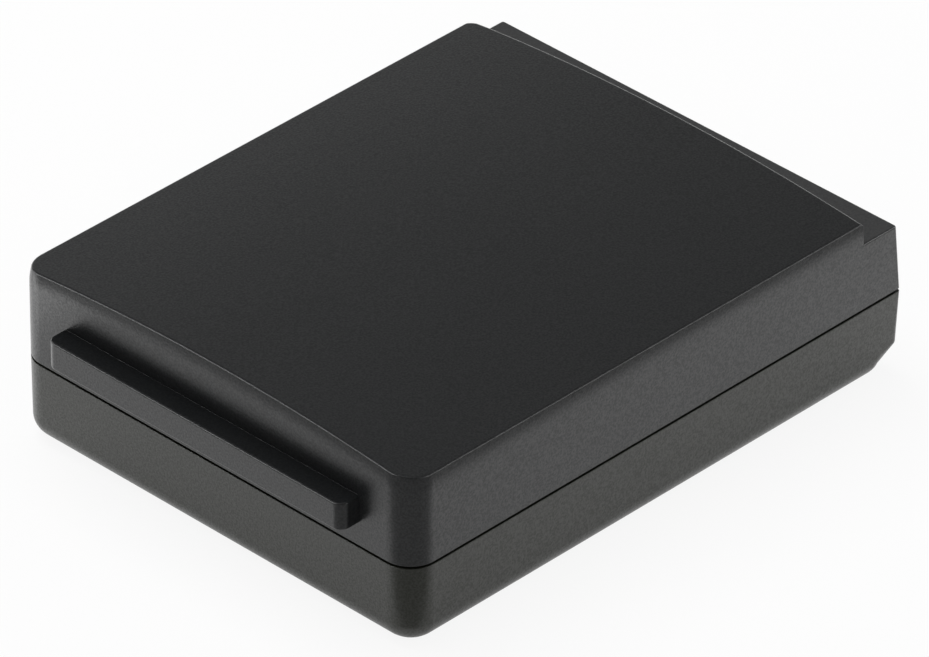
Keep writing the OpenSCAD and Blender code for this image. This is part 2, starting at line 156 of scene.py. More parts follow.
def new_piece(name: str, mesh: Mesh, crease: float = 32.0) -> Object:
    """Link a smooth-shaded object whose edges above an angle stay crisp.

    Args:
        name: Name of the piece.
        mesh: Its mesh, already in place.
        crease: Angle in degrees above which an edge is shaded sharp.

    Returns:
        The object, at the origin.
    """
    mesh.polygons.foreach_set("use_smooth", [True] * len(mesh.polygons))
    mesh.set_sharp_from_angle(angle=math.radians(crease))
    piece = new_object(name, mesh)
    even = piece.modifiers.new("even_normals", "WEIGHTED_NORMAL")
    even.keep_sharp = True
    even.weight = 100
    return piece


def bake_modifiers(piece: Object) -> None:
    """Turn a piece's evaluated mesh into its own mesh and drop its modifiers.

    Args:
        piece: Piece to bake.
    """
    graph = bpy.context.evaluated_depsgraph_get()
    mesh = bpy.data.meshes.new_from_object(piece.evaluated_get(graph), depsgraph=graph)
    piece.modifiers.clear()
    piece.data = mesh


# Housing


@dataclass(frozen=True)
class HousingSizes:
    """Sizes that both shells share, in millimetres."""

    length: float
    width: float
    crown: float
    seam: float = 12.25
    crown_drop: float = 2.0
    wall: float = 2.0
    corner_near: float = 4.3
    corner_far: float = 0.5
    foot: float = 3.2
    rim: float = 0.35
    rim_lean: float = 0.28
    rim_soft: float = 2.2
    draft: float = 0.06
    ledge_length: float = 7.15
    ledge_height: float = 22.9
    end_lean: float = 5.2
    step_lean: float = 4.0
    panel_corners: tuple[float, float] = (0.6, 2.2)
    toe_length: float = 3.5
    toe_rise: float = 4.0
    toe_radius: float = 1.3
    edge: float = 0.3
    brow: float = 0.6
    groove_height: float = 0.35
    groove_depth: float = 0.5
    tongue_height: float = 1.3
    tongue_thickness: float = 0.8
    tongue_clearance: float = 0.1

    @property
    def half_length(self) -> float:
        """Half of the housing's length."""
        return self.length / 2

    @property
    def step_floor(self) -> float:
        """Place along X where the step meets the ledge."""
        return self.half_length - self.ledge_length

    def crown_at(self, y: float, inset: float = 0.0) -> float:
        """Height of the crowned top at a distance from the middle line.

        Args:
            y: Distance from the middle line.
            inset: Distance by which the top is moved down.

        Returns:
            The height.
        """
        half = self.width / 2
        radius = (half * half + self.crown_drop**2) / (2 * self.crown_drop)
        return self.crown - inset - radius + math.sqrt(radius * radius - y * y)

    def step_at(self, z: float) -> float:
        """Place along X of the leaning step at a height."""
        return self.step_floor - (z - self.ledge_height) * math.tan(math.radians(self.step_lean))

    def end_shift(self, z: float) -> float:
        """Distance by which the leaning end wall falls back at a height."""
        return (z - self.seam) * math.tan(math.radians(self.end_lean))

    def draft_at(self, z: float) -> float:
        """Inset of the walls at a height, which grows away from the seam."""
        return self.draft * abs(z - self.seam) / self.seam

    @classmethod
    def from_frame(cls) -> "HousingSizes":
        """Take the length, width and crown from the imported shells.

        Returns:
            The sizes.
        """
        low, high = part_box("lower_shell")
        return cls(
            length=(high.x - low.x) / MM,
            width=(high.y - low.y) / MM,
            crown=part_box("upper_shell")[1].z / MM,
        )


def quarter(steps: int) -> list[float]:
    """Angles of a quarter turn in equal steps, in radians."""
    return [math.pi / 2 * i / steps for i in range(steps + 1)]


@dataclass
class HousingForm:
    """Surface patches of the housing's outline, for the skin or for the hollow inside it."""

    sizes: HousingSizes
    near_steps: int = 12
    far_steps: int = 8
    soft_steps: int = 5
    columns: int = 32
    fringe_steps: int = 4
    fringe: float = 0.014
    least_radius: float = 0.15

    @property
    def shares(self) -> np.ndarray:
        """Shares of the way across the housing at which its columns lie, closer near the sides.

        Returns:
            The shares, from 0 to 1.
        """
        fine = np.linspace(0, self.fringe, self.fringe_steps + 1)
        middle = np.linspace(self.fringe, 1 - self.fringe, self.columns - 2 * self.fringe_steps + 1)[1:-1]
        return np.concatenate([fine, middle, 1 - fine[::-1]])

    def outline(self, inset: float, z: float, far_shift: float = 0.0) -> tuple[np.ndarray, ...]:
        """Plan outline at a height as runs of points, anticlockwise from the +Y side.

        Args:
            inset: Distance by which the outline is moved in.
            z: Height of the points.
            far_shift: Distance by which the contact end falls back.

        Returns:
            The run round the near end, then the corners at the contact end on the -Y and the +Y side.
        """
        s = self.sizes
        rn = max(s.corner_near - inset, self.least_radius)
        rf = max(s.corner_far - inset, self.least_radius)
        half = s.width / 2 - inset
        x0, x1 = inset - s.half_length, s.half_length - inset - far_shift
        turn, bend = quarter(self.near_steps), quarter(self.far_steps)
        near_left = [(x0 + rn - rn * math.sin(a), half - rn + rn * math.cos(a), z) for a in turn]
        near = [(x0, y, z) for y in (half - rn) * (1 - 2 * self.shares[1:-1])]
        near_right = [(x0 + rn - rn * math.cos(a), rn - half - rn * math.sin(a), z) for a in turn]
        far_right = [(x1 - rf + rf * math.sin(a), rf - half - rf * math.cos(a), z) for a in bend]
        far_left = [(x1 - rf + rf * math.cos(a), half - rf + rf * math.sin(a), z) for a in bend]
        return np.array(near_left + near + near_right), np.array(far_right), np.array(far_left)

    def ring(self, inset: float, z: float, stops: tuple[float, ...] = ()) -> np.ndarray:
        """Closed outline at a height, with an extra point on the -Y and on the +Y side where asked.

        Args:
            inset: Distance by which the form is moved in.
            z: Height of the ring.
            stops: Places along X of the extra points.

        Returns:
            The points, once round.
        """
        near, far_right, far_left = self.outline(inset, z, self.far_shift(z))
        half = self.sizes.width / 2 - inset
        right = np.array([(x, -half, z) for x in stops[:1]]).reshape(-1, 3)
        left = np.array([(x, half, z) for x in stops[1:]]).reshape(-1, 3)
        return np.vstack([near, right, far_right, far_left, left])

    def far_shift(self, z: float) -> float:
        """Fall of the end wall at a height, which only the upper half has."""
        return max(self.sizes.end_shift(z), 0.0)


@dataclass
class CoverForm(HousingForm):
    """Upper half: drafted walls, rounded rim, crowned top, step and ledge."""

    def add(self, quilt: Quilt, inset: float, bottom: float, edge: float, brow: float) -> np.ndarray:
        """Add the whole upper form, moved in by a distance.

        Args:
            quilt: Quilt that takes the patches.
            inset: Distance by which the form is moved in.
            bottom: Height of its open lower edge.
            edge: Radius of the ledge's edges.
            brow: Radius of the step's upper edge.

        Returns:
            The open lower edge's ring of points.
        """
        s = self.sizes
        ledge = s.ledge_height - inset
        start = ledge - edge
        profile = self.rim_profile(inset)
        stops = self.wall_stops(inset, edge)
        low = self.ring(inset, bottom, stops)
        quilt.patch([low, self.ring(inset + s.draft_at(start), start, stops)], closed=True)
        wall_rows = [self.side_row(inset, brow, level=level) for level in (start, ledge)]
        rim_rows = [self.side_row(inset, brow, rim_point=point) for point in profile]
        quilt.patch(wall_rows + rim_rows)
        self.add_top(quilt, rim_rows[-1], inset, brow)
        hoops = [self.hoop(inset, profile, brow, turn) for turn in quarter(self.far_steps)]
        foot = self.step_foot(hoops[-1], inset, ledge)
        quilt.patch(hoops + [foot])
        banks = [self.ledge_row(inset, edge, ledge, turn) for turn in quarter(self.far_steps)]
        quilt.patch(banks)
        quilt.polygon(list(banks[-1]) + list(foot))
        quilt.polygon([row[0] for row in banks] + [foot[-1]])
        quilt.polygon([row[-1] for row in banks] + [foot[0]])
        return low

    def wall_stops(self, inset: float, edge: float) -> tuple[float, float]:
        """Places along X of the walls' ends beside the step, on the -Y and on the +Y side."""
        start = self.sizes.ledge_height - inset - edge
        return self.corner_x(start, inset, -1), self.corner_x(start, inset, 1)

    def step_x(self, z: float, inset: float) -> float:
        """Place along X of the step's face at a height, for a form moved in by a distance."""
        return self.sizes.step_at(z + inset) - inset

    def rim_profile(self, inset: float) -> list[tuple[float, float, float]]:
        """Section of the rim: the wall leans in softly and then rounds over into the top.

        Args:
            inset: Distance by which the form is moved in.

        Returns:
            For each point its depth inside the wall, its fall below the crown and its share of the rounding.
        """
        s = self.sizes
        radius = max(s.rim - inset, self.least_radius)
        tilt = math.atan(2 * s.rim_lean / s.rim_soft)
        foot = radius * (1 - math.sin(tilt))
        climb = [k / self.soft_steps for k in range(self.soft_steps)]
        soft = [(s.rim_lean * c * c, foot + s.rim_soft * (1 - c), 0.0) for c in climb]
        for k in range(self.far_steps + 1):
            turn = tilt + (math.pi / 2 - tilt) * k / self.far_steps
            share = (math.sin(turn) - math.sin(tilt)) / (1 - math.sin(tilt))
            depth = s.rim_lean + radius * (math.cos(tilt) - math.cos(turn))
            soft.append((depth, radius * (1 - math.sin(turn)), share))
        return soft

    def corner_radius(self, inset: float, side: float) -> float:
        """Radius of the raised top's upright corner beside the step, on the -Y or the +Y side."""
        return max(self.sizes.panel_corners[int(side > 0)] - inset, self.least_radius)

    def corner_x(self, z: float, inset: float, side: float) -> float:
        """Place along X where the side wall turns into the rounded corner of the step."""
        return self.step_x(z, inset) - self.corner_radius(inset, side)

    def corner_pull(self, y: float, inset: float) -> float:
        """Distance by which the rounded corner draws the step back at a distance from the middle line.

        Args:
            y: Distance from the middle line.
            inset: Distance by which the form is moved in.

        Returns:
            The distance.
        """
        radius = self.corner_radius(inset, y)
        half = self.sizes.width / 2 - self.wall_inset(self.sizes.crown - self.sizes.crown_drop, inset)
        reach = min(max(abs(y) - half + radius, 0.0), radius)
        return radius - math.sqrt(radius * radius - reach * reach)

    def wall_inset(self, z: float, inset: float) -> float:
        """Inset of the wall at a height, with its draft."""
        return inset + self.sizes.draft_at(z)

    def side_row(
        self,
        inset: float,
        brow: float,
        level: float | None = None,
        rim_point: tuple[float, float, float] = (0.0, 0.0, 0.0),
    ) -> np.ndarray:
        """Row round the near end and both sides, from step to step.

        Args:
            inset: Distance by which the form is moved in.
            brow: Radius of the step's upper edge.
            level: Height of the row on the flat wall, or None where the row follows the crown.
            rim_point: Point of the rim's section that the row follows.

        Returns:
            The points, from the +Y side to the -Y side.
        """
        s = self.sizes
        depth, fall, share = rim_point
        drafted = self.wall_inset(s.crown - s.crown_drop if level is None else level, inset)
        row = self.outline(drafted + depth, 0.0)[0]
        row = np.vstack([row[:1], row, row[-1:]])
        for point in row:
            point[2] = s.crown_at(point[1], inset) - fall if level is None else level
        for point in (row[0], row[-1]):
            point[0] = self.step_x(point[2], inset) - self.corner_pull(point[1], inset) - brow * share
        return row

    def add_top(self, quilt: Quilt, rim_row: np.ndarray, inset: float, brow: float) -> None:
        """Fill the crowned top inside the rim's last row with a grid that follows the crown.

        Args:
            quilt: Quilt that takes the patches.
            rim_row: Last row of the rim.
            inset: Distance by which the form is moved in.
            brow: Radius of the step's upper edge.
        """
        s = self.sizes
        side = self.near_steps + 1
        rows = [rim_row[side : len(rim_row) - side]]
        for i in range(1, side + 1):
            a, b = rim_row[side - i], rim_row[len(rim_row) - 1 - side + i]
            row = a + (b - a) * self.shares[:, None]
            for point in row:
                point[2] = s.crown_at(point[1], inset)
                if i == side:
                    point[0] = self.step_x(point[2], inset) - self.corner_pull(point[1], inset) - brow
            rows.append(row)
        quilt.patch(rows)

    def hoop(
        self, inset: float, profile: list[tuple[float, float, float]], brow: float, turn: float
    ) -> np.ndarray:
        """Section of the raised top at one angle round the step's edge, from side to side over the top.

        Args:
            inset: Distance by which the form is moved in.
            profile: Section of the rim.
            brow: Radius of the step's upper edge.
            turn: Angle round the step's edge.

        Returns:
            The points, from the +Y side to the -Y side.
        """
        s = self.sizes
        half = s.width / 2 - self.wall_inset(s.crown - s.crown_drop, inset)
        arc = [(half - depth, fall, share) for depth, fall, share in profile]
        across = [(y, 0.0, 1.0) for y in arc[-1][0] * (1 - 2 * self.shares[1:-1])]
        points = []
        for y, drop, share in arc + across + [(-y, drop, share) for y, drop, share in reversed(arc)]:
            z = s.crown_at(y, inset) - drop - share * brow * (1 - math.cos(turn))
            pull = self.corner_pull(y, inset) + share * brow * (1 - math.sin(turn))
            points.append((self.step_x(z, inset) - pull, y, z))
        return np.array(points)

    def step_foot(self, hoop: np.ndarray, inset: float, ledge: float) -> np.ndarray:
        """Foot of the step's face on the ledge, below the last hoop.

        Args:
            hoop: Last hoop above it.
            inset: Distance by which the form is moved in.
            ledge: Height of the ledge.

        Returns:
            The points, from the +Y side to the -Y side.
        """
        half = self.sizes.width / 2 - self.wall_inset(ledge, inset)
        ys = [half, *hoop[1:-1, 1], -half]
        return np.array([(self.step_x(ledge, inset) - self.corner_pull(y, inset), y, ledge) for y in ys])

    def ledge_row(self, inset: float, edge: float, ledge: float, turn: float) -> np.ndarray:
        """Row round the ledge from the step on the -Y side to the step on the +Y side.

        Args:
            inset: Distance by which the form is moved in.
            edge: Radius of the ledge's edges.
            ledge: Height of the ledge.
            turn: Angle round that edge.

        Returns:
            The points.
        """
        s = self.sizes
        pull, z = edge * (1 - math.cos(turn)), ledge - edge + edge * math.sin(turn)
        drafted = self.wall_inset(ledge - edge, inset) + pull
        _, far_right, far_left = self.outline(drafted, z, self.far_shift(z))
        half = s.width / 2 - drafted
        right, left = self.corner_x(z, inset, -1), self.corner_x(z, inset, 1)
        return np.vstack([[(right, -half, z)], far_right, far_left, [(left, half, z)]])


@dataclass
class TrayForm(HousingForm):
    """Lower half: drafted walls, rounded foot and slanted toe."""

    least_foot: float = 0.5
    toe_steps: int = 4

    def add(self, quilt: Quilt, inset: float, top: float) -> np.ndarray:
        """Add the whole lower form, moved in by a distance.

        Args:
            quilt: Quilt that takes the patches.
            inset: Distance by which the form is moved in.
            top: Height of its open upper edge.

        Returns:
            The open upper edge's ring of points.
        """
        s = self.sizes
        foot = max(s.foot - inset, self.least_foot)
        toe = max(s.toe_radius - inset, self.least_foot)
        slope = math.atan(s.toe_rise / s.toe_length)
        toe_start = s.half_length - s.toe_length - (foot + inset) * math.tan(slope / 2)
        toe_x = s.half_length - inset - toe
        toe_z = (toe + inset + (toe_x - s.half_length + s.toe_length) * math.sin(slope)) / math.cos(slope)
        turns = quarter(self.far_steps)
        near_rows = [self.near_row(inset, foot, top, turn) for turn in (None, *turns)]
        quilt.patch(near_rows)
        quilt.polygon(list(near_rows[-1]))
        x_near = near_rows[0][0][0]
        stations = [(x_near, inset + foot, foot, 0.0)]
        climb = [k / self.toe_steps for k in range(self.toe_steps + 1)]
        stations += [(toe_start, inset + foot, foot, slope * share) for share in climb]
        stations += [(toe_x, toe_z, toe, slope + (math.pi / 2 - slope) * share) for share in climb]
        corner = max(s.corner_far - inset, self.least_radius)
        stations.append((s.half_length - inset - corner, top, corner, math.pi / 2))
        flats = []
        for side in (1, -1):
            belt = [self.belt_row(inset, station, side, turns) for station in stations]
            quilt.patch(belt)
            quilt.polygon([row[0] for row in belt] + [near_rows[0][0 if side > 0 else -1]])
            flats.append([row[-1] for row in belt])
        quilt.patch([np.array(pair) for pair in zip(*flats)])
        return self.ring(inset, top)

    def near_row(self, inset: float, foot: float, top: float, turn: float | None) -> np.ndarray:
        """Row round the near end, at the open edge or at an angle round the foot.

        Args:
            inset: Distance by which the form is moved in.
            foot: Radius of the foot.
            top: Height of the open edge.
            turn: Angle round the foot, or None for the open edge.

        Returns:
            The points, from the +Y side to the -Y side.
        """
        z = top if turn is None else inset + foot - foot * math.sin(turn)
        pull = 0.0 if turn is None else foot * (1 - math.cos(turn))
        drafted = 0.0 if turn is None else self.sizes.draft_at(inset + foot)
        row = self.outline(inset + drafted + pull, z)[0]
        row[[0, -1], 0] = self.sizes.corner_near - self.sizes.half_length
        return row

    def belt_row(
        self, inset: float, station: tuple[float, float, float, float], side: int, turns: list[float]
    ) -> np.ndarray:
        """Section of the rounded lower edge at one station of the side view, from the wall to the flat.

        Args:
            inset: Distance by which the form is moved in.
            station: Place along X and height of the edge's centre, its radius and its slope.
            side: 1 for the +Y side or -1 for the -Y side.
            turns: Angles round the edge.

        Returns:
            The points.
        """
        x, z, radius, beta = station
        half = self.sizes.width / 2 - inset - self.sizes.draft_at(min(z, self.sizes.seam))
        points = []
        for turn in turns:
            reach = radius * math.sin(turn)
            y = side * (half - radius + radius * math.cos(turn))
            points.append((x + reach * math.sin(beta), y, z - reach * math.cos(beta)))
        return np.array(points)


# Finishes


def new_material(name: str) -> tuple[Material, NodeTree]:
    """Make a material and give its shader tree with it.

    Args:
        name: Name of the material.

    Returns:
        The material and its tree.
    """
    material = bpy.data.materials.new(name)
    material.use_nodes = True
    return material, material.node_tree


def new_group(
    name: str, inputs: dict[str, float], outputs: tuple[str, ...]
) -> tuple[NodeTree, NodeOutputs, Node]:
    """Make an empty shader group whose sockets all carry one value.

    Args:
        name: Name of the group.
        inputs: Name and default of each input.
        outputs: Name of each output.

    Returns:
        The group, the sockets that its inputs come out of and the node that takes its outputs.
    """
    group = bpy.data.node_groups.new(name, "ShaderNodeTree")
    for label, value in inputs.items():
        socket = group.interface.new_socket(label, in_out="INPUT", socket_type="NodeSocketFloat")
        socket.default_value = value
    for label in outputs:
        group.interface.new_socket(label, in_out="OUTPUT", socket_type="NodeSocketFloat")
    entry, leave = group.nodes.new("NodeGroupInput"), group.nodes.new("NodeGroupOutput")
    return group, entry.outputs, leave


def fill(tree: NodeTree, node: Node, inputs: dict[str | int, object]) -> None:
    """Fill a node's inputs, each with a plain value or from a socket.

    Args:
        tree: Tree that holds the node.
        node: Node to fill.
        inputs: Value or socket for each input, by its name or number.
    """
    for label, value in inputs.items():
        if isinstance(value, NodeSocket):
            tree.links.new(value, node.inputs[label])
        else:
            node.inputs[label].default_value = value


def add_node(tree: NodeTree, kind: str, inputs: dict[str | int, object], **choices: str) -> NodeOutputs:
    """Add a node, make its choices and fill its inputs.

    Args:
        tree: Tree that takes the node.
        kind: Kind of node.
        inputs: Value or socket for each input, by its name or number.
        **choices: Settings of the node itself.

    Returns:
        The node's outputs.
    """
    node = tree.nodes.new(kind)
    for label, value in choices.items():
        setattr(node, label, value)
    fill(tree, node, inputs)
    return node.outputs


def math_node(tree: NodeTree, operation: str, *values: object) -> NodeSocket:
    """Add a Math node and return its output; each value is a number or a socket."""
    return add_node(tree, "ShaderNodeMath", dict(enumerate(values)), operation=operation)[0]


def blend_nodes(
    tree: NodeTree, first: tuple[NodeSocket, float], second: tuple[NodeSocket, float]
) -> NodeSocket:
    """Add two values, each multiplied by its share."""
    return math_node(tree, "ADD", math_node(tree, "MULTIPLY", *first), math_node(tree, "MULTIPLY", *second))


def object_place(tree: NodeTree) -> NodeSocket:
    """Place on the object, in metres."""
    return tree.nodes.new("ShaderNodeTexCoord").outputs["Object"]


def place_parts(tree: NodeTree) -> NodeOutputs:
    """Place on the object as its parts X, Y and Z."""
    return add_node(tree, "ShaderNodeSeparateXYZ", {"Vector": object_place(tree)})


def ramp_node(
    tree: NodeTree,
    value: NodeSocket,
    start: tuple[float, float] = (0.0, 1.0),
    end: tuple[float, float] = (0.0, 1.0),
    kind: str = "LINEAR",
) -> NodeSocket:
    """Map a value from the start bounds to the end bounds and hold it there."""
    bounds = dict(zip(("From Min", "From Max", "To Min", "To Max"), (*start, *end)))
    return add_node(tree, "ShaderNodeMapRange", {"Value": value, **bounds}, interpolation_type=kind)["Result"]


def noise_node(tree: NodeTree, place: NodeSocket, scale: object, detail: float) -> NodeSocket:
    """Add a Noise texture read at a place and return its value, from 0 to 1."""
    return add_node(tree, "ShaderNodeTexNoise", {"Vector": place, "Scale": scale, "Detail": detail})["Fac"]


def moulded_grain_group() -> NodeTree:
    """Spark-eroded mould texture with slow unevenness and glossy specks.

    Returns:
        A group with the outputs Height, Mottle and Speck, each from about 0 to 1.
    """
    scales = {"Grain Scale": 3600.0, "Cloud Scale": 45.0}
    group, entry, leave = new_group("moulded_grain", scales, ("Height", "Mottle", "Speck"))
    place = object_place(group)
    fine = noise_node(group, place, entry["Grain Scale"], 3.0)
    pits = {"Vector": place, "Scale": math_node(group, "MULTIPLY", entry["Grain Scale"], PIT_SCALE_SHARE)}
    pitted = add_node(group, "ShaderNodeTexVoronoi", pits, feature="SMOOTH_F1")["Distance"]
    height = blend_nodes(group, (fine, FINE_SHARE), (pitted, PIT_SHARE))
    cloud = noise_node(group, place, entry["Cloud Scale"], 4.0)
    mottle = blend_nodes(group, (cloud, CLOUD_TINT), (fine, FINE_TINT))
    speck = ramp_node(group, noise_node(group, place, entry["Grain Scale"], 1.0), SPECK_BOUNDS)
    fill(group, leave, {"Height": height, "Mottle": mottle, "Speck": speck})
    return group


def fibre_group() -> NodeTree:
    """Matted fibres or cells, for paper, card and foam.

    Returns:
        A group with the outputs Height and Mottle, each from about 0 to 1.
    """
    group, entry, leave = new_group("fibre_mottle", {"Fibre Scale": 900.0}, ("Height", "Mottle"))
    place = object_place(group)
    cells = {"Vector": place, "Scale": entry["Fibre Scale"]}
    cell = add_node(group, "ShaderNodeTexVoronoi", cells)["Distance"]
    cloud = noise_node(group, place, entry["Fibre Scale"], 6.0)
    fill(group, leave, {"Height": math_node(group, "MULTIPLY", cell, cloud), "Mottle": cloud})
    return group


def rolled_streak_group() -> NodeTree:
    """Fine lines left by rolling, along X, for strip and contact sheet.

    Returns:
        A group with the outputs Height and Mottle, each from about 0 to 1.
    """
    group, entry, leave = new_group("rolled_streaks", {"Line Scale": 500.0}, ("Height", "Mottle"))
    place = object_place(group)
    stretch = {"Vector": place, "Scale": (STREAK_STRETCH, 1.0, 1.0)}
    stretched = add_node(group, "ShaderNodeMapping", stretch)["Vector"]
    lines = noise_node(group, stretched, entry["Line Scale"], 5.0)
    stain = noise_node(group, place, STAIN_SCALE, 3.0)
    mottle = blend_nodes(group, (lines, LINE_TINT), (stain, STAIN_TINT))
    fill(group, leave, {"Height": lines, "Mottle": mottle})
    return group


class Effect(Enum):
    """Surface effects that the finishes share."""

    GRAIN = "moulded_grain"
    FIBRE = "fibre_mottle"
    STREAK = "rolled_streaks"


GROUP_MAKERS = {
    Effect.GRAIN: moulded_grain_group,
    Effect.FIBRE: fibre_group,
    Effect.STREAK: rolled_streak_group,
}


@dataclass(frozen=True)
class Finish:
    """One finish: two colours that its mottle runs between, its gloss, its specks and its rubbed part."""

    slot: str
    dark: tuple[float, float, float]
    light: tuple[float, float, float]
    effect: Effect = Effect.GRAIN
    rough: tuple[float, float] = (0.4, 0.5)
    metal: float = 0.0
    coat: float = 0.0
    bump: float = 0.1
    relief: float = 0.00002
    speck: float = 0.0
    burnish: float = 0.0
    burnish_start: tuple[float, float] = (0.0386, 0.02275)

    def build(self) -> Material:
        """Make the material from its effect group.

        Returns:
            The finished material.
        """
        material, tree = new_material(self.slot)
        shader = tree.nodes["Principled BSDF"]
        group = tree.nodes.new("ShaderNodeGroup")
        group.node_tree = bpy.data.node_groups.get(self.effect.value) or GROUP_MAKERS[self.effect]()
        look = group.outputs
        ends = {"A": (*self.dark, 1.0), "B": (*self.light, 1.0), "Factor": look["Mottle"]}
        relief = {"Strength": self.bump, "Distance": self.relief, "Height": look["Height"]}
        coat = self.coat
        if self.speck:
            shader.inputs["Coat Roughness"].default_value = sum(self.rough) / 2
            place = place_parts(tree)
            beyond = math_node(tree, "GREATER_THAN", place["X"], self.burnish_start[0])
            above = math_node(tree, "GREATER_THAN", place["Z"], self.burnish_start[1])
            rubbed = math_node(tree, "MULTIPLY", math_node(tree, "MULTIPLY", beyond, above), self.burnish)
            coat = math_node(tree, "MULTIPLY_ADD", look["Speck"], self.speck, rubbed)
        parts = {
            "Base Color": add_node(tree, "ShaderNodeMix", ends, data_type="RGBA")["Result"],
            "Roughness": ramp_node(tree, look["Mottle"], end=self.rough),
            "Normal": add_node(tree, "ShaderNodeBump", relief)["Normal"],
            "Metallic": self.metal,
            "Coat Weight": coat,
        }
        fill(tree, shader, parts)
        return material


FINISHES = (
    Finish(
        "shell_upper",
        (0.0070, 0.0078, 0.0084),
        (0.0120, 0.0128, 0.0134),
        rough=(0.27, 0.37),
        bump=0.5,
        relief=0.00005,
        speck=0.4,
        burnish=1.0,
    ),
    Finish(
        "shell_lower",
        (0.0085, 0.0100, 0.0045),
        (0.0140, 0.0155, 0.0085),
        rough=(0.28, 0.38),
        bump=0.5,
        relief=0.00005,
        speck=0.4,
    ),
    Finish("cell_sleeve", (0.03, 0.16, 0.07), (0.05, 0.22, 0.1), rough=(0.2, 0.3), bump=0.05, coat=0.3),
    Finish("washer_paper", (0.7, 0.66, 0.55), (0.84, 0.8, 0.7), Effect.FIBRE, (0.8, 0.95), bump=0.3),
    Finish("nickel_strip", (0.48, 0.47, 0.44), (0.66, 0.65, 0.62), Effect.STREAK, (0.25, 0.42), metal=1.0),
    Finish("fuse_film", (0.6, 0.38, 0.04), (0.74, 0.5, 0.07), Effect.FIBRE, (0.25, 0.4)),
    Finish("card_paper", (0.58, 0.54, 0.44), (0.76, 0.72, 0.6), Effect.FIBRE, (0.75, 0.95), bump=0.3),
    Finish(
        "foam_pad",
        (0.05, 0.053, 0.056),
        (0.12, 0.125, 0.13),
        Effect.FIBRE,
        (0.85, 1.0),
        bump=0.8,
        relief=0.0002,
    ),
    Finish("carrier_plastic", (0.012, 0.012, 0.013), (0.02, 0.02, 0.021), rough=(0.45, 0.6), bump=0.3),
    Finish("contact_plate", (0.6, 0.5, 0.28), (0.76, 0.68, 0.42), Effect.STREAK, (0.18, 0.32), metal=1.0),
    Finish("board_laminate", (0.02, 0.12, 0.045), (0.035, 0.17, 0.07), rough=(0.25, 0.35), bump=0.1),
    Finish("part_ceramic", (0.7, 0.68, 0.62), (0.84, 0.82, 0.76), Effect.FIBRE, (0.5, 0.7)),
    Finish("part_resin", (0.014, 0.014, 0.016), (0.026, 0.026, 0.028), rough=(0.45, 0.6), bump=0.2),
    Finish("bead_resin", (0.34, 0.1, 0.02), (0.48, 0.17, 0.04), Effect.FIBRE, (0.15, 0.3), coat=0.4),
    Finish("lead_red", (0.36, 0.015, 0.01), (0.46, 0.025, 0.02), rough=(0.3, 0.4), bump=0.1),
    Finish("lead_black", (0.012, 0.012, 0.014), (0.02, 0.02, 0.023), rough=(0.3, 0.4), bump=0.1),
)


# Pieces


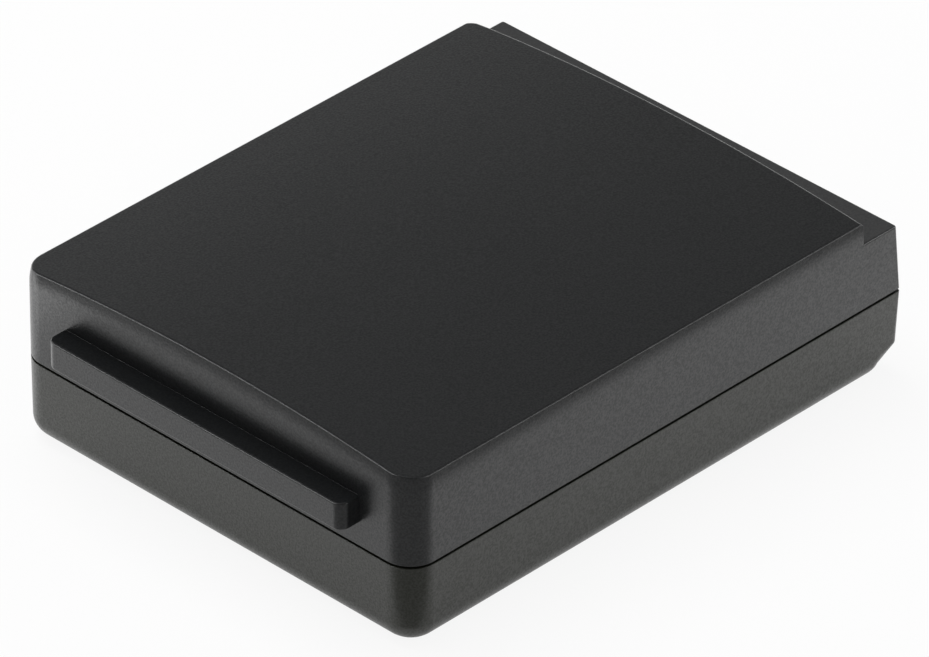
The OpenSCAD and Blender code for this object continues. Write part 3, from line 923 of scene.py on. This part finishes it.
@dataclass
class Housing:
    """The two moulded shells, rebuilt with their small radii, hollow and with their seam."""

    sizes: HousingSizes
    finishes: dict[str, Material]
    inner_edge: float = 0.1
    lip: float = 0.12
    lip_steps: int = 3
    rib_length: float = 54.2
    rib_out: float = 3.35
    rib_height: float = 4.2
    rib_foot: float = 16.2
    rib_corner: float = 1.5
    rib_bevel: float = 0.3
    rib_root: float = 0.02
    root_steps: int = 5
    nose_steps: int = 16
    bevel_steps: int = 4
    window_pitch: float = 15.0
    window_width: float = 8.0
    window_sill: float = 6.0

    def build(self) -> list[Object]:
        """Build and dress both shells.

        Returns:
            The cover and the tray.
        """
        cover = self.cover()
        tray = self.tray()
        rows = ((cover, "upper_shell", "shell_upper"), (tray, "lower_shell", "shell_lower"))
        for piece, node, name in rows:
            piece.data.materials.append(self.finishes[name])
            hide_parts(node)
            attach(piece, "root")
        return [cover, tray]

    def cover(self) -> Object:
        """Upper shell with its rolled lower lip, the shadow groove, the tongue's slot and the end rib.

        Returns:
            The shell.
        """
        s = self.sizes
        form, quilt = CoverForm(s), Quilt()
        lip_z = s.seam + s.groove_height + self.lip
        outer = form.add(quilt, 0.0, lip_z, s.edge, s.brow)
        stops = form.wall_stops(0.0, s.edge)
        slot = s.wall - s.tongue_thickness - s.tongue_clearance
        slot_top = s.seam + s.tongue_height + s.tongue_clearance
        deep = s.groove_depth
        groove = ((deep, lip_z - self.lip), (deep, s.seam), (slot, s.seam), (slot, slot_top))
        rings = [form.ring(inset, z, stops) for inset, z in (*self.lip_section(lip_z, -1), *groove)]
        inner = form.add(quilt, s.wall, slot_top, self.inner_edge, self.inner_edge)
        quilt.patch([outer, *rings, inner], closed=True)
        self.add_rib(quilt)
        return new_piece("cover", quilt.mesh("cover"))

    def lip_section(self, start: float, way: int) -> list[tuple[float, float]]:
        """Insets and heights of a rolled lip that starts on the wall and turns in, up (1) or down (-1)."""
        turns = quarter(self.lip_steps)[1:]
        return [(self.lip * (1 - math.cos(turn)), start + way * self.lip * math.sin(turn)) for turn in turns]

    def add_rib(self, quilt: Quilt) -> None:
        """Add the guide rib across the near end, as sections from its filleted root to its rounded nose.

        Args:
            quilt: Quilt that takes the rib.
        """
        s = self.sizes
        wall_x = s.draft_at(self.rib_foot + self.rib_height / 2) - s.half_length
        nose_x = -s.half_length - self.rib_out + self.rib_corner
        rows = [self.rib_section(wall_x + s.wall / 2, 0.0, -self.rib_root)]
        for turn in quarter(self.root_steps):
            flare = self.rib_root * (1 - math.sin(turn))
            rows.append(self.rib_section(wall_x - self.rib_root * (1 - math.cos(turn)), 0.0, -flare))
        for turn in quarter(self.nose_steps):
            ahead = self.rib_corner * math.sin(turn)
            reach = max(ahead - self.rib_corner + self.rib_bevel, 0.0)
            drop = self.rib_bevel - math.sqrt(self.rib_bevel**2 - reach * reach)
            rows.append(self.rib_section(nose_x - ahead, self.rib_corner * (1 - math.cos(turn)), drop))
        quilt.tube(rows)

    def rib_section(self, x: float, pull_y: float, pull_z: float) -> np.ndarray:
        """Upright section of the rib, a rectangle with small corner radii.

        Args:
            x: Place of the section along X.
            pull_y: Distance by which its ends are drawn in.
            pull_z: Distance by which its top and bottom are drawn in.

        Returns:
            The section's points, once round.
        """
        r = self.rib_bevel
        flat_y = self.rib_length / 2 - pull_y - r
        flat_z = self.rib_height / 2 - pull_z - r
        middle = self.rib_foot + self.rib_height / 2
        points = []
        for k, (sy, sz) in enumerate(((1, 1), (-1, 1), (-1, -1), (1, -1))):
            for turn in quarter(self.bevel_steps):
                angle = turn + k * math.pi / 2
                y, z = sy * flat_y + r * math.cos(angle), middle + sz * flat_z + r * math.sin(angle)
                points.append((x, y, z))
        return np.array(points)

    def tray(self) -> Object:
        """Lower shell with its tongue, rounded foot, slanted toe and contact windows.

        Returns:
            The shell, with its windows cut.
        """
        s = self.sizes
        form, quilt = TrayForm(s), Quilt()
        outer = form.add(quilt, 0.0, s.seam - self.lip)
        tongue, tongue_top = s.wall - s.tongue_thickness, s.seam + s.tongue_height
        ends = ((tongue, s.seam), (tongue, tongue_top), (s.wall, tongue_top))
        rings = [form.ring(inset, z) for inset, z in (*self.lip_section(s.seam - self.lip, 1), *ends)]
        inner = form.add(quilt, s.wall, s.seam - self.lip)
        quilt.patch([outer, *rings, inner], closed=True)
        tray = new_piece("tray", quilt.mesh("tray"))
        for k in (-1, 0, 1):
            self.cut_window(tray, k * self.window_pitch)
        bake_modifiers(tray)
        return tray

    def cut_window(self, tray: Object, y: float) -> None:
        """Cut one contact window, open at the top, through the far wall.

        Args:
            tray: Lower shell.
            y: Middle of the window.
        """
        s = self.sizes
        cutter = Quilt()
        x0, x1 = s.half_length - 2 * s.wall, s.half_length + s.wall
        half, z1 = self.window_width / 2, s.seam + 3 * s.tongue_height
        loop = [(x0, y - half), (x1, y - half), (x1, y + half), (x0, y + half)]
        rows = [np.array([(x, v, z) for x, v in loop]) for z in (self.window_sill, z1)]
        cutter.tube(rows)
        block = new_object("window_cutter", cutter.mesh("window_cutter"))
        cut = tray.modifiers.new("window", "BOOLEAN")
        cut.operation, cut.solver, cut.object = "DIFFERENCE", "EXACT", block
        tray.modifiers.move(len(tray.modifiers) - 1, 0)
        bake_modifiers(tray)
        bpy.data.objects.remove(block)


@dataclass
class CellPack:
    """Everything inside the shells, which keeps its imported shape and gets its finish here."""

    finishes: dict[str, Material]

    def dress(self) -> None:
        """Give every shown node of the frame the finish of its slot."""
        slots = {part["node"]: part["material_slot"] for part in frame["record"]["subparts"]}
        for node, piece in frame["nodes"].items():
            piece.data.materials.clear()
            piece.data.materials.append(self.finishes[slots[node]])
            LOG.info("dressed %s as %s", node, slots[node])


@dataclass
class WeldSpots:
    """Weld spots that hold the nickel strips to the cell ends, all laid out by one geometry group."""

    finishes: dict[str, Material]
    joints: tuple[tuple[str, int, int], ...] = (
        ("strip_1_2", 1, 2),
        ("strip_2_3", 2, 3),
        ("strip_4_5", 4, 5),
        ("negative_tab", 1, 1),
        ("positive_tab", 5, 5),
    )
    spread_x: float = 2.0
    spread_z: float = 2.4
    radius: float = 0.42
    height: float = 0.11
    sink: float = 0.05
    sides: int = 16
    top_share: float = 0.55
    size_range: tuple[float, float] = (0.85, 1.1)
    seed: int = 11

    def build(self) -> list[Object]:
        """Build the spots of every strip.

        Returns:
            One piece for each strip.
        """
        group = self.spot_group()
        return [self.spots(group, *joint) for joint in self.joints]

    def spot_group(self) -> NodeTree:
        """Geometry group that sets a small grid of domed spots on each of a row of cell ends.

        Returns:
            The group, with named inputs and one geometry output.
        """
        tree = bpy.data.node_groups.new("weld_spots", "GeometryNodeTree")
        kinds = {"Cells": "Int", "Pitch": "Float", "Spread X": "Float", "Spread Z": "Float"}
        kinds.update({"Radius": "Float", "Height": "Float", "Sides": "Int", "Seed": "Int"})
        kinds.update({"First": "Vector", "Turn": "Float", "Material": "Material"})
        for label, kind in kinds.items():
            tree.interface.new_socket(label, in_out="INPUT", socket_type="NodeSocket" + kind)
        tree.interface.new_socket("Spots", in_out="OUTPUT", socket_type="NodeSocketGeometry")
        entry = tree.nodes.new("NodeGroupInput").outputs
        step = add_node(tree, "ShaderNodeCombineXYZ", {"X": entry["Pitch"]})["Vector"]
        row = {"Count": entry["Cells"], "Offset": step}
        ends = add_node(tree, "GeometryNodeMeshLine", row, mode="OFFSET")["Mesh"]
        spread = {"Size X": entry["Spread X"], "Size Y": entry["Spread Z"], "Vertices X": 2, "Vertices Y": 2}
        grid = add_node(tree, "GeometryNodeMeshGrid", spread)["Mesh"]
        grids = self.real(tree, self.laid(tree, {"Points": ends, "Instance": grid}))
        dome = {"Vertices": entry["Sides"], "Depth": entry["Height"], "Radius Bottom": entry["Radius"]}
        dome["Radius Top"] = math_node(tree, "MULTIPLY", entry["Radius"], self.top_share)
        spot = add_node(tree, "GeometryNodeMeshCone", dome)["Mesh"]
        chance = tree.nodes.new("FunctionNodeRandomValue")
        chance.data_type = "FLOAT"
        tree.links.new(entry["Seed"], chance.inputs["Seed"])
        for label, value in zip(("Min", "Max"), self.size_range):
            bound = next(socket for socket in chance.inputs if socket.name == label and socket.enabled)
            bound.default_value = value
        size = next(socket for socket in chance.outputs if socket.enabled)
        turn = add_node(tree, "ShaderNodeCombineXYZ", {"X": entry["Turn"]})["Vector"]
        move = {"Translation": entry["First"], "Rotation": turn}
        move["Geometry"] = self.laid(tree, {"Points": grids, "Instance": spot, "Scale": size})
        real = self.real(tree, add_node(tree, "GeometryNodeTransform", move)["Geometry"])
        coat = {"Geometry": real, "Material": entry["Material"]}
        coated = add_node(tree, "GeometryNodeSetMaterial", coat)["Geometry"]
        tree.links.new(coated, tree.nodes.new("NodeGroupOutput").inputs["Spots"])
        return tree

    @staticmethod
    def laid(tree: NodeTree, inputs: dict[str | int, object]) -> NodeSocket:
        """Lay an instance on each of the points."""
        return add_node(tree, "GeometryNodeInstanceOnPoints", inputs)["Instances"]

    @staticmethod
    def real(tree: NodeTree, instances: NodeSocket) -> NodeSocket:
        """Turn instances into plain geometry."""
        return add_node(tree, "GeometryNodeRealizeInstances", {"Geometry": instances})["Geometry"]

    def spots(self, group: NodeTree, strip: str, first: int, last: int) -> Object:
        """Lay the spots of one strip and bake them.

        Args:
            group: Geometry group that lays spots.
            strip: Node of the strip.
            first: Number of the first cell that the strip is welded to.
            last: Number of the last one.

        Returns:
            The piece, riding with the pack.
        """
        low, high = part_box(strip)
        side = 1 if low.y + high.y > 0 else -1
        face = (high.y if side > 0 else low.y) - side * self.sink * MM
        ends = [sum(corner.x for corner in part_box(f"cell_{number}")) / 2 for number in (first, last)]
        values = {
            "Cells": last - first + 1,
            "Pitch": (ends[1] - ends[0]) / max(last - first, 1),
            "Spread X": self.spread_x * MM,
            "Spread Z": self.spread_z * MM,
            "Radius": self.radius * MM,
            "Height": self.height * MM,
            "Sides": self.sides,
            "Seed": self.seed + first,
            "First": (ends[0], face, (low.z + high.z) / 2),
            "Turn": -side * math.pi / 2,
            "Material": self.finishes["nickel_strip"],
        }
        name = f"welds_{strip}"
        piece = new_object(name, bpy.data.meshes.new(name))
        layer = piece.modifiers.new("weld_spots", "NODES")
        layer.node_group = group
        for item in group.interface.items_tree:
            if item.in_out == "INPUT":
                layer[item.identifier] = values[item.name]
        bake_modifiers(piece)
        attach(piece, "root")
        return piece


# Studio


SQUARE = ((-1, -1), (1, -1), (1, 1), (-1, 1))
WHITE = (1.0, 1.0, 1.0, 1.0)
BLACK = (0.0, 0.0, 0.0, 1.0)


@dataclass(frozen=True)
class Card:
    """Flat glowing sheet on the table that only gloss sees, which paints reflected shade or a reflected pool
    of light: its corners in plan, in metres, and its glow.
    """

    name: str
    corners: tuple[tuple[float, float], ...]
    glow: float


@dataclass(frozen=True)
class Strip:
    """Overhead strip that only gloss sees: its direction, the axis it follows, its size and its glow."""

    name: str
    aim: tuple[float, float, float]
    axis: tuple[float, float, float]
    size: tuple[float, float]
    glow: float


@dataclass
class Studio:
    """Pale floor, soft overhead light, dark curtain for the gloss, and the camera."""

    floor_size: float = 6.0
    floor_drop: float = 0.0002
    floor_white: float = 0.93
    floor_rough: float = 0.9
    glow: float = 0.9
    gloss_share: float = 0.5
    gloss_near: float = 1.2
    gloss_far: float = 1.5
    gloss_start: float = -0.058
    gloss_end: float = 0.02
    gloss_back: float = 0.05
    fade_start: float = 0.036
    fade_end: float = 0.06
    soft_size: tuple[float, float] = (0.8, 0.9)
    soft_place: tuple[float, float, float] = (0.0, 0.38, 1.0)
    soft_power: float = 7.5
    ambient: float = 0.42
    curtain_radius: float = 2.4
    curtain_height: float = 12.0
    curtain_steps: int = 48
    curtain_glow: float = 0.2
    hem_glow: float = 0.40
    hem_height: float = 3.0
    hem_power: float = 3.0
    hem_start: float = -0.1
    hem_end: float = 0.4
    cards: tuple[Card, ...] = (
        # Dark glowing sheet in front of the pack: the pack's painted shadow on the table, seen in the gloss
        # of the near corner.
        Card("front_painted_shadow_card", ((-0.047, -0.0372), (-1.63, 1.18), (-1.475, -1.437), (1.14, -1.65)), 0.38),
        # Bright glowing sheet off the left end: a painted pool of light on the table, seen in the gloss of
        # the near wall's left end.
        Card("left_painted_light_card", ((-0.062, 0.054), (-0.082, 0.058), (-0.082, 0.12), (-0.062, 0.12)), 2.8),
    )
    strips: tuple[Strip, ...] = (
        Strip("near_strip", (-0.718, 0.578, 0.386), (0.0, 1.0, 0.0), (2.0, 0.35), 6.0),
        Strip("side_strip", (0.589, -0.715, 0.376), (1.0, 0.0, 0.0), (2.0, 0.35), 3.4),
    )
    strip_distance: float = 1.5
    camera_place: tuple[float, float, float] = (-0.79232, -0.77753, 0.75784)
    camera_turn: tuple[float, float] = (-45.563, 33.927)
    lens: float = 393.3
    sensor: float = 36.0

    def build(self) -> None:
        """Build the stage, the light and the camera."""
        self.world()
        self.floor()
        self.curtain()
        self.cards_and_strips()
        self.softbox()
        self.camera()

    def seen_mask(self, tree: NodeTree) -> NodeSocket:
        """Value that is 1 for camera, glossy and transmission rays and 0 for the rest.

        Args:
            tree: Tree that takes the nodes.

        Returns:
            The value.
        """
        path = tree.nodes.new("ShaderNodeLightPath").outputs
        seen = math_node(tree, "MAXIMUM", path["Is Camera Ray"], path["Is Glossy Ray"])
        return math_node(tree, "MAXIMUM", seen, path["Is Transmission Ray"])

    def world(self) -> None:
        """Plain ambient light that is seen as white."""
        world = bpy.data.worlds.new("studio_air")
        bpy.context.scene.world = world
        world.use_nodes = True
        tree = world.node_tree
        strength = math_node(tree, "MULTIPLY_ADD", self.seen_mask(tree), 1.0 - self.ambient, self.ambient)
        fill(tree, tree.nodes["Background"], {"Color": WHITE, "Strength": strength})

    def floor(self) -> None:
        """White floor that keeps a soft shadow and is seen as white by the camera; in gloss it shows a
        painted pool of light beside and behind the pack and painted shade in front of it.
        """
        half = self.floor_size / 2 / MM
        quilt = Quilt()
        quilt.polygon([np.array((half * x, half * y, -self.floor_drop / MM)) for x, y in SQUARE])
        mesh = quilt.mesh("floor")
        if mesh.polygons[0].normal.z < 0:
            mesh.flip_normals()
        floor = new_object("floor", mesh)
        material, tree = new_material("floor_sheet")
        shader = tree.nodes["Principled BSDF"]
        white = (self.floor_white, self.floor_white, self.floor_white, 1.0)
        sheet = {"Base Color": white, "Roughness": self.floor_rough, "Specular IOR Level": 0.0}
        fill(tree, shader, sheet)
        # Painted light for gloss rays: the floor glows beside and behind the pack, more strongly further
        # along the view, and not at all in front of it, which paints shade there.
        glossy = tree.nodes.new("ShaderNodeLightPath").outputs["Is Glossy Ray"]
        reach = self.along_view(tree, self.gloss_start, self.gloss_end)
        level = math_node(tree, "MULTIPLY_ADD", reach, self.gloss_far - self.gloss_near, self.gloss_near)
        lit = math_node(tree, "MAXIMUM", self.painted_light_beside_pack(tree), self.along_view(tree, 0.0, self.gloss_back))
        gain = math_node(tree, "SUBTRACT", math_node(tree, "MULTIPLY", level, lit), 1.0)
        strength = math_node(tree, "MULTIPLY_ADD", glossy, gain, 1.0)
        glow = add_node(tree, "ShaderNodeEmission", {"Strength": strength})["Emission"]
        share = math_node(tree, "MULTIPLY_ADD", glossy, self.gloss_share - self.glow, self.glow)
        seen = math_node(tree, "MULTIPLY", self.seen_mask(tree), share)
        mix = add_node(tree, "ShaderNodeMixShader", {"Fac": seen, 1: shader.outputs["BSDF"], 2: glow})
        fill(tree, tree.nodes["Material Output"], {"Surface": mix["Shader"]})
        floor.data.materials.append(material)

    @property
    def view_way(self) -> tuple[float, float, float]:
        """Level direction in which the camera looks."""
        azimuth = math.radians(self.camera_turn[0])
        return (-math.sin(azimuth), math.cos(azimuth), 0.0)

    def along_view(self, tree: NodeTree, start: float, end: float) -> NodeSocket:
        """Value that runs from 0 to 1 between two depths, in metres beyond the pack's middle.

        Args:
            tree: Tree that takes the nodes.
            start: Depth at which it leaves 0.
            end: Depth at which it reaches 1.

        Returns:
            The value.
        """
        ways = {0: object_place(tree), 1: self.view_way}
        depth = add_node(tree, "ShaderNodeVectorMath", ways, operation="DOT_PRODUCT")["Value"]
        return ramp_node(tree, depth, (start, end), kind="SMOOTHSTEP")

    def painted_light_beside_pack(self, tree: NodeTree) -> NodeSocket:
        """Mask of the painted pool of light on the table, which falls from 1 beside the pack to 0 further
        away.

        Args:
            tree: Tree that takes the nodes.

        Returns:
            The value.
        """
        place, high = place_parts(tree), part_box("lower_shell")[1]
        gaps = [
            math_node(tree, "SUBTRACT", math_node(tree, "ABSOLUTE", place[axis]), reach)
            for axis, reach in (("X", high.x), ("Y", high.y))
        ]
        fade = (self.fade_start, self.fade_end)
        return ramp_node(tree, math_node(tree, "MAXIMUM", *gaps), fade, (1.0, 0.0), "SMOOTHSTEP")

    def gloss_only(self, name: str, quilt: Quilt) -> Object:
        """Link a black glowing sheet that only gloss sees.

        Args:
            name: Name of the sheet.
            quilt: Its patches.

        Returns:
            The sheet, with its material.
        """
        sheet = new_object(name, quilt.mesh(name))
        material, tree = new_material(name)
        black = {"Base Color": BLACK, "Specular IOR Level": 0.0, "Emission Strength": 1.0}
        fill(tree, tree.nodes["Principled BSDF"], black)
        sheet.data.materials.append(material)
        sheet.visible_camera = sheet.visible_diffuse = sheet.visible_shadow = False
        sheet.visible_transmission = False
        return sheet

    def curtain(self) -> None:
        """Grey curtain round the table, pale along its hem behind the pack."""
        turns = [2 * math.pi * i / self.curtain_steps for i in range(self.curtain_steps)]
        radius, top = self.curtain_radius / MM, self.curtain_height / MM
        ring = [(radius * math.cos(turn), radius * math.sin(turn)) for turn in turns]
        quilt = Quilt()
        quilt.patch([np.array([(x, y, z) for x, y in ring]) for z in (0.0, top)], closed=True)
        tree = self.gloss_only("curtain", quilt).data.materials[0].node_tree
        lift = math_node(tree, "DIVIDE", place_parts(tree)["Z"], self.hem_height)
        below = math_node(tree, "MAXIMUM", math_node(tree, "SUBTRACT", 1.0, lift), 0.0)
        fall = math_node(tree, "POWER", below, self.hem_power)
        start, end = self.hem_start * self.curtain_radius, self.hem_end * self.curtain_radius
        hem = math_node(tree, "MULTIPLY", fall, self.along_view(tree, start, end))
        glow = math_node(tree, "MULTIPLY_ADD", hem, self.hem_glow, self.curtain_glow)
        fill(tree, tree.nodes["Principled BSDF"], {"Emission Color": glow})

    def cards_and_strips(self) -> None:
        """Cards on the table, which paint a reflected shadow in front of the near corner and a reflected pool
        of light off the left end, and strips overhead, which shape the gloss of the edges.
        """
        for card in self.cards:
            quilt = Quilt()
            quilt.polygon([np.array((x / MM, y / MM, -self.floor_drop / MM / 2)) for x, y in card.corners])
            self.set_glow(self.gloss_only(card.name, quilt), card.glow)
        for strip in self.strips:
            aim, axis = Vector(strip.aim).normalized(), Vector(strip.axis)
            along = (axis - axis.dot(aim) * aim).normalized() * strip.size[0] / 2
            across = aim.cross(along).normalized() * strip.size[1] / 2
            middle = aim * self.strip_distance
            quilt = Quilt()
            quilt.polygon([np.array(middle + a * along + b * across) / MM for a, b in SQUARE])
            self.set_glow(self.gloss_only(strip.name, quilt), strip.glow, once=True)

    def set_glow(self, sheet: Object, glow: float, once: bool = False) -> None:
        """Give a sheet an even glow; seen once, it adds no light between two faces.

        Args:
            sheet: Sheet that only gloss sees.
            glow: Strength of its glow.
            once: Whether only the first reflection sees it.
        """
        tree = sheet.data.materials[0].node_tree
        if once:
            depth = tree.nodes.new("ShaderNodeLightPath").outputs["Ray Depth"]
            glow = math_node(tree, "MULTIPLY", math_node(tree, "LESS_THAN", depth, FIRST_REFLECTION), glow)
        fill(tree, tree.nodes["Principled BSDF"], {"Emission Color": WHITE, "Emission Strength": glow})

    def softbox(self) -> None:
        """Broad soft light overhead."""
        lamp = bpy.data.lights.new("softbox", "AREA")
        lamp.shape = "RECTANGLE"
        lamp.size, lamp.size_y = self.soft_size
        lamp.energy = self.soft_power
        holder = new_object("softbox", lamp)
        holder.location = self.soft_place
        holder.rotation_euler = (-Vector(self.soft_place)).to_track_quat("-Z", "Y").to_euler()
        holder.visible_camera = holder.visible_glossy = False

    def camera(self) -> None:
        """Camera at the photograph's viewing angle."""
        data = bpy.data.cameras.new("camera")
        data.lens, data.sensor_width = self.lens, self.sensor
        data.clip_start, data.clip_end = 0.05, 50.0
        camera = new_object("camera", data)
        camera.location = self.camera_place
        azimuth, elevation = map(math.radians, self.camera_turn)
        camera.rotation_euler = (math.pi / 2 - elevation, 0.0, azimuth)
        bpy.context.scene.camera = camera


def main() -> None:
    """Build the studio and the pack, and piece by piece."""
    logging.basicConfig(level=logging.INFO, format="%(name)s: %(message)s")
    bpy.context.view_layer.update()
    bpy.context.scene.view_settings.view_transform = "Standard"
    Studio().build()
    finishes = {finish.slot: finish.build() for finish in FINISHES}
    CellPack(finishes).dress()
    for piece in WeldSpots(finishes).build() + Housing(HousingSizes.from_frame(), finishes).build():
        LOG.info("built %s with %d faces", piece.name, len(piece.data.polygons))


if __name__ == "__main__":
    main()
